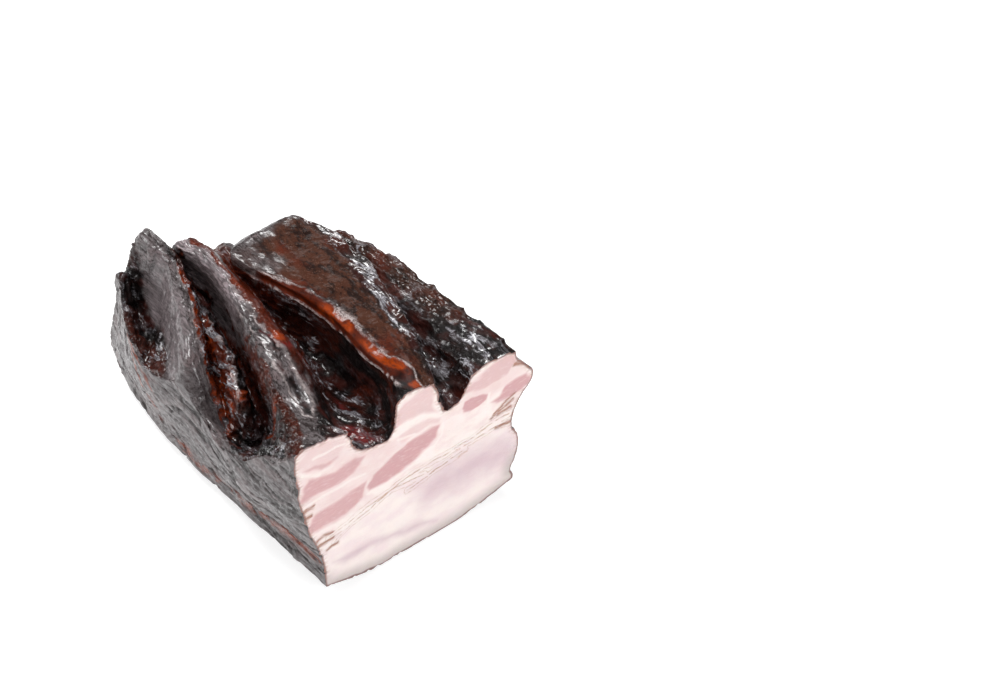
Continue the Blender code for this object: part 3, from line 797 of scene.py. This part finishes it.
def makeCrustFinish():
    # wet dark meat, greasy film partly painted sheen, and dry brown, then orange, then painted glints
    f = Finish("smokedCrust")
    # and pale lines of painted highlight, each laid over the last
    c = crustColours
    pit, brown, filmAndSheen, hump = (f.carried(name) for name in ("pit", "brown", "filmAndSheen", "hump"))
    ember, rust, wine, crease = (f.carried(name) for name in ("ember", "rust", "wine", "crease"))
    pale, paintedGlint, upper, lit = (f.carried(name) for name in ("pale", "paintedGlint", "upper", "lit"))
    fibre = f.noise((0.8, 11.0, 0.8), 4.0, 0.62)
    cloud = f.noise((6.0, 13.0, 6.0), 3.0, 0.5, (3.0, 1.0, 7.0))
    flake = f.noise((1.3, 2.2, 1.3), 4.0, 0.62, (1.0, 5.0, 2.0), 0.8)
    speck = f.noise((0.5, 0.7, 0.5), 2.0, 0.6, (9.0, 2.0, 4.0))
    chip = f.noise((0.7, 1.8, 0.7), 2.0, 0.5, (4.0, 8.0, 1.0), 1.0)
    patch = f.noise((4.5, 15.0, 4.5), 2.0, 0.5, (6.0, 3.0, 2.0), 0.6)
    wrinkle = f.noise((1.9, 6.5, 1.9), 3.0, 0.55, (2.0, 6.0, 5.0), 1.4)

    dark = f.mix(cloud.rise(0.44, 0.66), c["tar"], c["blood"])
    dark = f.mix(rust * (0.35 + flake.rise(0.35, 0.6) * 0.65), dark, c["rust"])
    dark = f.mix(wine * flake.rise(0.36, 0.52), dark, c["wine"])
    # the grey film of the smooth sides, partly painted sheen, varied by fibres and clouds
    skin = f.mix((fibre * 0.55 + cloud * 0.45).rise(0.36, 0.60), c["filmDeep"], c["filmAndSheen"])
    skin = f.mix(cloud.rise(0.50, 0.66) * 0.5, skin, c["filmRose"])
    streaky = crease * 0.9 + fibre.rise(0.53, 0.62) * 0.55
    mottle = (0.35 + upper * 0.65) * (wrinkle * 0.55 + chip * 0.45).rise(0.47, 0.58)
    skin = f.mix(streaky.most(mottle).least(0.92), skin, c["filmDark"])
    # painted light: film on shaded walls painted paler, then given darker mottle
    skin = f.mix(lit * 0.8, skin, f.mix(fibre.rise(0.40, 0.60), c["filmAndSheen"], c["filmPaintedLight"]))
    skin = f.mix((lit * 0.75).least(wrinkle.rise(0.47, 0.58)), skin, c["filmDeep"])
    top = f.mix((flake * 0.4 + patch * 0.6).rise(0.42, 0.56), c["umberDark"], c["umber"])
    top = f.mix((speck * 0.5 + chip * 0.5).rise(0.54, 0.66) * 0.6, top, c["umberPale"])
    base = f.mix(filmAndSheen, dark, skin)
    base = f.mix(brown, base, top)
    glow = f.mix(ember.rise(0.30, 0.85), c["rust"], c["amber"])
    uneven = 0.35 + (flake * 0.5 + wrinkle * 0.5).rise(0.36, 0.54) * 0.65
    base = f.mix(ember.rise(0.04, 0.45) * uneven, base, glow)
    # painted glints: silver highlights painted on the crests and in patches of the furrows
    score = hump * 0.20 + wrinkle * 1.1 + patch * 1.7 + chip * 0.4
    glint = (paintedGlint * 1.2).least(1.0) * score.rise(1.72, 2.00)
    base = f.mix(glint, base, f.mix((speck * 0.4 + wrinkle * 0.6).rise(0.48, 0.66), c["dimGlint"], c["paintedGlint"]))
    # painted highlights: thin pale lines along the lip and the blades' edges
    base = f.mix(pale * (0.25 + (chip * 0.6 + speck * 0.4).rise(0.42, 0.54) * 0.75) * 0.85, base, c["paintedHighlight"])
    gloss = pit * (0.15 + paintedGlint * 1.1) + filmAndSheen * 0.8
    gloss = gloss * (0.25 + flake.rise(0.42, 0.58) * 0.75) + brown * 0.03
    rough = 0.46 + brown * 0.20 + (flake - 0.5) * 0.20
    height = fibre * filmAndSheen * 0.30 + flake * (pit * 0.35 + 0.15) + chip * pit * 0.15
    height = height + speck * (brown * 0.35 + 0.08) + wrinkle * (pit + filmAndSheen * 0.7) * 0.9
    fixed = {
        "Specular IOR Level": crustShine["specular"], "Coat Weight": gloss.least(1.0),
        "Coat Roughness": crustShine["coatRoughness"], "Coat IOR": crustShine["coatIor"],
    }
    return f.surface(base, rough, height, crustShine["bumpDepth"], fixed)


# Muscle in the cut: how deep its pink is, how soft its edge (mm), and its outline as ((x, z), ...).
muscles = dict(
    topLeft=(0.50, 1.0, (
        (-7.9, 68.9), (-5.9, 70.8), (-2.2, 72.6), (3.6, 73.6), (10.0, 71.1), (13.2, 68.2), (12.4, 64.2),
        (11.0, 61.4), (6.8, 60.3), (1.8, 60.4), (-2.9, 62.6), (-7.5, 66.2))),
    topLeftDeep=(0.78, 0.9, (
        (-5.4, 64.8), (-0.3, 64.6), (4.5, 63.1), (11.1, 62.9), (10.6, 61.2), (6.8, 60.4), (1.8, 60.7),
        (-2.9, 62.6))),
    upperLeft=(0.88, 1.3, (
        (-6.6, 57.5), (-3.9, 60.9), (1.7, 59.0), (7.4, 57.6), (12.5, 58.6), (15.9, 59.1), (20.4, 57.0),
        (19.3, 53.4), (15.4, 51.2), (9.4, 50.2), (5.2, 49.9), (0.3, 50.6), (-4.7, 49.8), (-7.8, 50.4),
        (-8.1, 53.8))),
    upperLeftDeep=(0.98, 2.2, ((-1.0, 55.5), (3.5, 57.2), (9.5, 55.6), (12, 53.5), (7, 51.3), (1.5, 52.0))),
    lowerLeft=(0.86, 1.2, (
        (-5.7, 37.6), (-3.7, 41.6), (-1.1, 43.2), (4.8, 43.7), (10.7, 44.5), (15.9, 45.2), (20.3, 45.5),
        (19.7, 40.9), (18.2, 37.8), (14.4, 35.6), (10.1, 34.5), (4.1, 34.5), (-1.0, 34.0), (-5.1, 34.1))),
    centre=(1.0, 1.1, (
        (20.2, 42.0), (21.9, 45.7), (26.3, 47.7), (31.6, 50.1), (37.8, 51.6), (43.9, 51.8), (49.3, 52.7),
        (53.0, 52.1), (51.9, 49.3), (50.0, 46.1), (45.5, 43.6), (40.0, 41.4), (34.6, 39.2), (29.3, 38.5),
        (25.0, 38.9), (21.6, 39.5))),
    overCentre=(0.55, 1.0, (
        (33.6, 56.0), (36.3, 57.2), (41.5, 57.8), (47.7, 57.4), (53.8, 55.0), (52.8, 52.5), (48.9, 53.2),
        (44.0, 52.6), (38.7, 52.6), (34.3, 53.0))),
    middleHump=(0.60, 0.9, (
        (32.5, 59.4), (32.6, 63.0), (34.1, 67.7), (36.8, 70.6), (41.2, 71.8), (46.3, 72.0), (49.8, 72.2),
        (50.3, 68.4), (49.8, 63.1), (52.5, 57.6), (46.0, 60.5), (39.0, 61.8), (34.7, 60.9))),
    small=(1.0, 0.7, (
        (62.6, 53.1), (63.7, 56.0), (67.3, 56.2), (71.9, 55.5), (74.5, 53.6), (73.7, 51.0), (70.5, 49.6),
        (66.3, 49.6), (63.2, 51.2))),
    rightHump=(0.70, 0.9, (
        (61.9, 58.7), (63.3, 60.9), (66.5, 62.3), (71.0, 64.0), (76.5, 66.6), (82.0, 67.1), (86.7, 65.0),
        (88.1, 61.9), (85.8, 59.4), (83.0, 57.2), (78.3, 56.1), (72.8, 56.9), (67.4, 57.8))),
    right=(0.96, 1.0, (
        (75.5, 48.2), (80.2, 49.3), (82.5, 52.8), (86.7, 54.2), (91.4, 53.9), (94.1, 50.9), (93.2, 47.6),
        (90.6, 46.3), (86.8, 46.0), (83.0, 45.6), (79.3, 45.9))),
    leftGround=(0.36, 2.2, (
        (-7.5, 65.0), (-8.0, 36.5), (-3.0, 33.0), (20.0, 36.0), (23.0, 43.5), (33.0, 51.5), (33.0, 56.5),
        (19.0, 60.0), (12.0, 62.5), (3.0, 60.5))),
    middleGround=(0.24, 3.0, (
        (50.0, 58.0), (61.0, 56.0), (62.0, 49.0), (73.0, 47.0), (60.0, 41.5), (50.0, 44.0))),
    rightGround=(0.42, 2.2, (
        (60.5, 52.0), (66.0, 48.2), (76.0, 49.5), (91.0, 54.5), (92.0, 58.0), (88.0, 62.5), (76.0, 61.5),
        (63.0, 60.0))),
    lowestLeft=(0.32, 1.4, ((-4.5, 33.0), (2, 33.4), (6, 32.0), (2.5, 29.6), (-2.5, 29.0))),
)
# lilac in the fat, laid out as the muscles; the broad patch is lilac tint and painted shade towards the
# right
lilacs = dict(
    broadLilacAndShade=(0.95, 5.0, (
        (39.6, 28.3), (50.5, 32.0), (63.3, 31.2), (80.2, 29.9), (86.9, 25.9), (87.9, 18.3), (83.1, 13.1),
        (70.7, 14.8), (56.6, 15.5), (44.7, 19.1))),
    low=(1.0, 1.6, (
        (3.7, 15.6), (11.5, 15.4), (20.2, 14.9), (31.7, 12.6), (42.5, 9.6), (50, 6.5), (38.8, 8.2),
        (29.9, 10.2), (20.1, 11.6), (10.4, 12.0))),
    dot=(1.0, 1.0, ((66.2, 25.0), (67.0, 26.4), (67.9, 25.4), (67.0, 24.6))),
)
# lines in the cut, each ((x, z), ...)
creamLines = (
    ((-7.6, 64.6), (-3.8, 61.8), (0.9, 59.7)),
    ((-5.7, 48.4), (0.9, 48.1), (6.0, 48.6), (13.6, 49.0), (19.5, 48.6)),
    ((32.5, 60.2), (39.0, 60.9), (46.0, 59.8), (53.8, 55.9)), ((74.6, 53.5), (74.8, 48.6)),
    ((33.5, 55.0), (38.8, 54.2), (42.2, 53.4)), ((-0.2, 66.8), (3.9, 67.0), (8.9, 67.6), (12.2, 67.0)),
    ((20.2, 38.6), (25.8, 37.5), (32.8, 37.9), (40.9, 40.2), (49.0, 42.9), (53.6, 46.8), (54.6, 51.9)),
)
strands = (
    ((2.5, 28.8), (9.8, 30.3), (18.6, 32.4), (25.6, 33.3), (32.7, 34.6), (41.6, 35.8), (50.6, 36.6),
     (58.8, 36.4), (68.0, 36.7), (75.5, 37.7), (84.1, 38.2)),
    ((5.2, 24.5), (12.3, 29.1), (20.2, 30.6), (29.1, 33.9), (36.2, 33.4), (45.1, 32.7)),
    ((36.0, 29.6), (45.0, 30.4), (54.1, 32.0), (63.3, 33.2)),
    ((63.4, 35.1), (70.8, 35.1), (78.3, 35.5), (84.0, 34.1)),
)
cracks = (
    ((-8.4, 45.4), (-5.8, 46.3), (-1.7, 46.4)), ((-8.2, 42.2), (-5.3, 42.8), (-3.2, 43.1)),
    ((-2.9, 30.0), (0.5, 31.1), (3.4, 30.6)), ((-1.9, 27.3), (1.1, 27.3), (4.5, 27.4)),
    ((1.2, 22.8), (4.3, 23.7), (6.8, 23.4)),
    ((75.5, 40.3), (81.1, 42.2), (86.6, 44.0)), ((77.0, 41.6), (82.0, 44.4), (87.2, 46.8)),
    ((79.5, 40.6), (84.9, 41.1)), ((78.0, 34.6), (84.5, 34.4)),
    ((86.8, 60.4), (90.5, 58.4), (92.6, 55.4)), ((88.5, 62.0), (91, 59.5)),
)


def fromLine(x, z, line):
    # distance from each point to a line of straight stretches
    nearest = np.full(x.shape, 1e9)
    for (ax, az), (bx, bz) in zip(line, line[1:]):
        along = ((x - ax) * (bx - ax) + (z - az) * (bz - az)) / ((bx - ax) ** 2 + (bz - az) ** 2)
        along = np.clip(along, 0, 1)
        nearest = np.minimum(nearest, np.hypot(x - between(ax, bx, along), z - between(az, bz, along)))
    return nearest


def insideOf(x, z, outline):
    # distance to the outline, positive inside, by counting its crossings to the right
    odd = np.zeros(x.shape, bool)
    for (ax, az), (bx, bz) in zip(outline, outline[1:] + outline[:1]):
        if az != bz:
            odd ^= ((az > z) != (bz > z)) & (x < (bx - ax) * (z - az) / (bz - az) + ax)
    return np.where(odd, 1, -1) * fromLine(x, z, outline + outline[:1])


def cutAttributes(grid, outline):
    # what each point of the cut is: muscle, blush in the fat, and how near it lies to lines and edges
    x, z = grid[..., 0], grid[..., 2]
    place = np.stack([x, np.zeros_like(x), z], -1)
    frayed = layeredNoise(place, (6, 9, 1.6), 47, 3)
    bentX = x + 1.3 * layeredNoise(place, (8, 9, 5), 41, 2)
    bentZ = z + 0.5 * layeredNoise(place, (9, 9, 5), 43, 2) + 0.25 * frayed

    def soaked(shapes):
        depth = np.zeros_like(x)
        for strength, soft, shape in shapes.values():
            inside = insideOf(bentX, bentZ, shape)
            depth = np.maximum(depth, strength * ease(-soft * 1.3, soft * 1.5, inside))
        return depth

    def nearest(shapes, reach):
        return np.minimum(reach, np.min([fromLine(bentX, bentZ, shape) for shape in shapes], 0))

    edge = tuple(map(tuple, outline[::3, [0, 2]]))
    return dict(
        muscle=soaked(muscles), lilac=soaked(lilacs),
        cream=nearest(creamLines, 4), strand=nearest(strands, 4), crack=nearest(cracks, 4),
        overSeam=z - seamHeight(x, np.zeros_like(x)), rim=np.minimum(8, fromLine(x, z, edge + edge[:1])),
    )


def fillOutline(outline, spacing):
    # the flat part inside a closed outline, as points and triangles facing the viewer of the cut
    border = [Vector((x, z)) for x, z in outline[:, [0, 2]]]
    low, high = outline[:, [0, 2]].min(0), outline[:, [0, 2]].max(0)
    across, up = np.meshgrid(np.arange(low[0], high[0], spacing), np.arange(low[1], high[1], spacing * 0.8))
    across = across + spacing / 2 * (np.arange(len(up)) % 2)[:, None]
    keep = insideOf(across, up, tuple(map(tuple, outline[:, [0, 2]]))) > spacing * 0.45
    inner = [Vector(point) for point in zip(across[keep], up[keep])]
    ring = [(i, (i + 1) % len(border)) for i in range(len(border))]
    corners, _, faces, *_ = delaunay_2d_cdt(border + inner, ring, [], 1, 1e-5)
    flat = np.array([tuple(corner) for corner in corners])
    faces = np.array(faces)
    first, second, third = (flat[faces[:, k]] for k in range(3))
    turn = np.cross(second - first, third - first)
    faces[turn < 0] = faces[turn < 0][:, ::-1]
    return np.stack([flat[:, 0], np.zeros(len(flat)), flat[:, 1]], -1), faces


cutColours = dict(
    white=(0.90, 0.80, 0.765),
    fat=(0.84, 0.70, 0.705),
    lilac=(0.64, 0.475, 0.515),
    pale=(0.76, 0.545, 0.535),
    pink=(0.61, 0.335, 0.345),
    straw=(0.50, 0.285, 0.165),
    cured=(0.33, 0.115, 0.055),
    rind=(0.17, 0.07, 0.06),
    shade=(0.50, 0.43, 0.41),
)
cutShine = dict(specular=0.5, glowThrough=0.10, glowDepth=0.002, bumpDepth=0.00045)


def makeCutFinish():
    # fat, then muscle, then the lines in it, then the dried edges and a painted shade along the lower edges
    f = Finish("cutMeat")
    c = cutColours
    muscle, lilac, cream, strand = (f.carried(name) for name in ("muscle", "lilac", "cream", "strand"))
    crack, overSeam, rim = (f.carried(name) for name in ("crack", "overSeam", "rim"))
    grainy = f.noise((3.0, 3.0, 0.8), 4.0, 0.6, (2.0, 0.0, 5.0))
    cloud = f.noise((9.0, 9.0, 5.0), 3.0, 0.5, (1.0, 0.0, 9.0))
    pore = f.noise((0.5, 0.5, 0.35), 2.0, 0.5)
    lean = overSeam.rise(-1.5, 3.0)

    base = f.mix(cloud.rise(0.35, 0.68) * 0.8 + lean * -0.4, c["white"], c["fat"])
    base = f.mix(lilac * (0.6 + cloud * 0.6), base, c["lilac"])
    meat = f.mix(muscle.rise(0.45, 1.0), c["pale"], c["pink"])
    meat = f.mix(grainy.rise(0.50, 0.76) * 0.40, meat, c["fat"])
    base = f.mix(lean * cloud.rise(0.40, 0.62) * 0.32, base, c["pale"])
    base = f.mix(muscle.rise(0.02, 0.78), base, meat)
    base = f.mix((1 - cream.rise(0.15, 0.95)) * 0.75, base, c["white"])
    middleLine = 1 - (strand + (grainy - 0.5) * 0.9).rise(0.08, 0.38)
    sideLines = 1 - abs(strand - 1.5 + (grainy - 0.5) * 1.4).rise(0.04, 0.24)
    strandLines = middleLine.most(sideLines * 0.55)
    base = f.mix(strandLines * grainy.rise(0.32, 0.50) * 0.85, base, c["straw"])
    split = 1 - (crack + (grainy - 0.5) * 1.8).rise(0.10, 1.00)
    smear = (1 - (crack + (grainy - 0.5) * 3.0).rise(0.2, 1.6)) * grainy.rise(0.36, 0.56)
    base = f.mix((smear * 0.6).most(split * 0.85), base, c["cured"])
    # painted shade: greyer near the edges in the lower part of the cut
    low = 1 - overSeam.rise(-22.0, -12.0)
    base = f.mix((1 - rim.rise(0.6, 7.0)) * low * 0.80, base, c["shade"])
    base = f.mix((1 - (rim + (cloud - 0.5) * 0.8).rise(0.25, 1.10)) * 0.9, base, c["rind"])
    tan = (1 - rim.rise(0.5, 2.8)) * (1 - low) * grainy.rise(0.44, 0.62)
    base = f.mix(tan * 0.45, base, c["cured"])
    rough = 0.36 + grainy * 0.16
    height = grainy * 0.7 + pore * 0.3 - strandLines * 0.3 - split * 0.4
    fixed = {
        "Specular IOR Level": cutShine["specular"], "Subsurface Weight": cutShine["glowThrough"],
        "Subsurface Scale": cutShine["glowDepth"],
    }
    return f.surface(base, rough, height, cutShine["bumpDepth"], fixed)


stage = dict(
    floorSize=3.0, floorColour=(0.42, 0.42, 0.42), floorGlow=0.78, worldStrength=0.10,
    # each light: place, width, height in metres and watts
    lights=dict(
        overhead=((-0.15, 0.12, 1.00), 0.32, 0.32, 7.0),
        backLeft=((-0.62, 0.55, 0.50), 0.25, 0.50, 3.0),
        backRight=((0.52, 0.64, 0.70), 0.30, 0.30, 5.0),
        front=((0.25, -0.95, 0.55), 0.60, 0.50, 6.4),
    ),
)
view = dict(place=(-253.9, -394.8, 509.8), azimuth=-40.2, elevation=40.0, lens=70.0, sensor=36.0)


def lookAlong(thing, back):
    # turn a camera or light so that back points out behind it
    thing.rotation_mode = "QUATERNION"
    thing.rotation_quaternion = (-back).to_track_quat("-Z", "Y")


def makeCamera():
    camera = bpy.data.cameras.new("camera")
    camera.lens = view["lens"]
    camera.sensor_width = view["sensor"]
    camera.clip_start = 0.01
    thing = bpy.data.objects.new("camera", camera)
    bpy.context.scene.collection.objects.link(thing)
    thing.location = Vector(inMetres(view["place"]))
    azimuth, elevation = math.radians(view["azimuth"]), math.radians(view["elevation"])
    flat = math.cos(elevation)
    lookAlong(thing, Vector((math.sin(azimuth) * flat, -math.cos(azimuth) * flat, math.sin(elevation))))
    bpy.context.scene.camera = thing


def makeStage():
    size = stage["floorSize"]
    mesh = bpy.data.meshes.new("floor")
    corners = [(-size, -size, 0), (size, -size, 0), (size, size, 0), (-size, size, 0)]
    mesh.from_pydata(corners, [], [(0, 1, 2, 3)])
    floor = bpy.data.objects.new("floor", mesh)
    bpy.context.scene.collection.objects.link(floor)
    f = Finish("paleFloor")
    soft = f.noise((300.0, 300.0, 300.0))
    tint = f.mix(soft, stage["floorColour"], tuple(v * 0.98 for v in stage["floorColour"]))
    glow = {"Emission Color": (1.0, 1.0, 1.0), "Emission Strength": stage["floorGlow"]}
    mesh.materials.append(f.surface(tint, soft * 0.1 + 0.85, soft, 0.00002, glow))
    for name, (place, width, depth, power) in stage["lights"].items():
        lamp = bpy.data.lights.new(name, "AREA")
        lamp.shape, lamp.size, lamp.size_y, lamp.energy = "RECTANGLE", width, depth, power
        thing = bpy.data.objects.new(name, lamp)
        bpy.context.scene.collection.objects.link(thing)
        thing.location = place
        lookAlong(thing, Vector(place) - Vector((0, 0, 0.035)))
    world = bpy.data.worlds.new("studio")
    world.use_nodes = True
    world.node_tree.nodes["Background"].inputs["Color"].default_value = (1, 1, 1, 1)
    world.node_tree.nodes["Background"].inputs["Strength"].default_value = stage["worldStrength"]
    bpy.context.scene.world = world
    bpy.context.scene.view_settings.view_transform = "Standard"


def makeSlab():
    # the rings with their relief, cut lengthways into three pieces, and the two faces of the cut
    rings = bodyRings()
    columns = rings.shape[1]
    crustSteps = sum(edge[2] for edge in fineness["crust"]) + fineness["shelf"]
    crustStart = fineness["leftUpper"]
    crustEnd = crustStart + crustSteps
    seamColumn = crustEnd + fineness["rightUpper"]
    back = backRings(rings[-1, :, :3], fineness["backRows"])
    back = np.concatenate([back, back[..., :1]], -1)
    rings = np.concatenate([rings, back])
    column = np.arange(columns)
    onTop = ((column >= crustStart) & (column <= crustEnd)).astype(float)[None, :]
    onBack = ease(fineness["backFade"] * fineness["rows"], fineness["rows"], np.arange(len(rings)))[:, None]
    onCrust = onTop * (1 - onBack)
    cover = coveringOf(rings, onCrust)
    cover["onCrust"] = onCrust
    moved = addRelief(rings, cover)
    print("slab worked out,", columns, "columns")

    crustFinish, cutFinish = makeCrustFinish(), makeCutFinish()

    def strip(values, first, last):
        return values[:, np.arange(first, last + 1) % columns]

    troughColumn = crustStart + sum(edge[2] for edge in fineness["crust"][:7]) + fineness["troughSplit"]
    for name, first, last, node, slot in (
        ("bladedCrust", 0, troughColumn, "lean_layer", "smoked_lean"),
        ("broadCrust", troughColumn, seamColumn, "lean_layer", "smoked_lean"),
        ("rindAndSides", seamColumn, columns, "fat_layer", "fat_and_rind"),
    ):
        attributes = {key: strip(values, first, last) for key, values in cover.items()}
        points = strip(moved, first, last)
        makePiece(name, points, gridFaces(*points.shape[:2]), attributes, crustFinish, node)

    cut = moved[0]
    share = np.linspace(0, 1, fineness["seam"] + 1)[1:-1, None]
    seam = between(cut[0], cut[seamColumn], share)
    ends = between(seamHeight(cut[0, 0], 0), seamHeight(cut[seamColumn, 0], 0), share[:, 0])
    seam[:, 2] += seamHeight(seam[:, 0], 0 * seam[:, 0]) - ends
    for name, border, node, slot in (
        ("leanCut", np.concatenate([cut[:seamColumn + 1], seam[::-1]]), "lean_layer", "smoked_lean"),
        ("fatCut", np.concatenate([cut[seamColumn:], cut[:1], seam]), "fat_layer", "fat_and_rind"),
    ):
        points, faces = fillOutline(border, fineness["cutSpacing"])
        makePiece(name, points, faces, cutAttributes(points, cut), cutFinish, node)


makeCamera()
makeStage()
print("camera, floor and lights in place")
makeSlab()
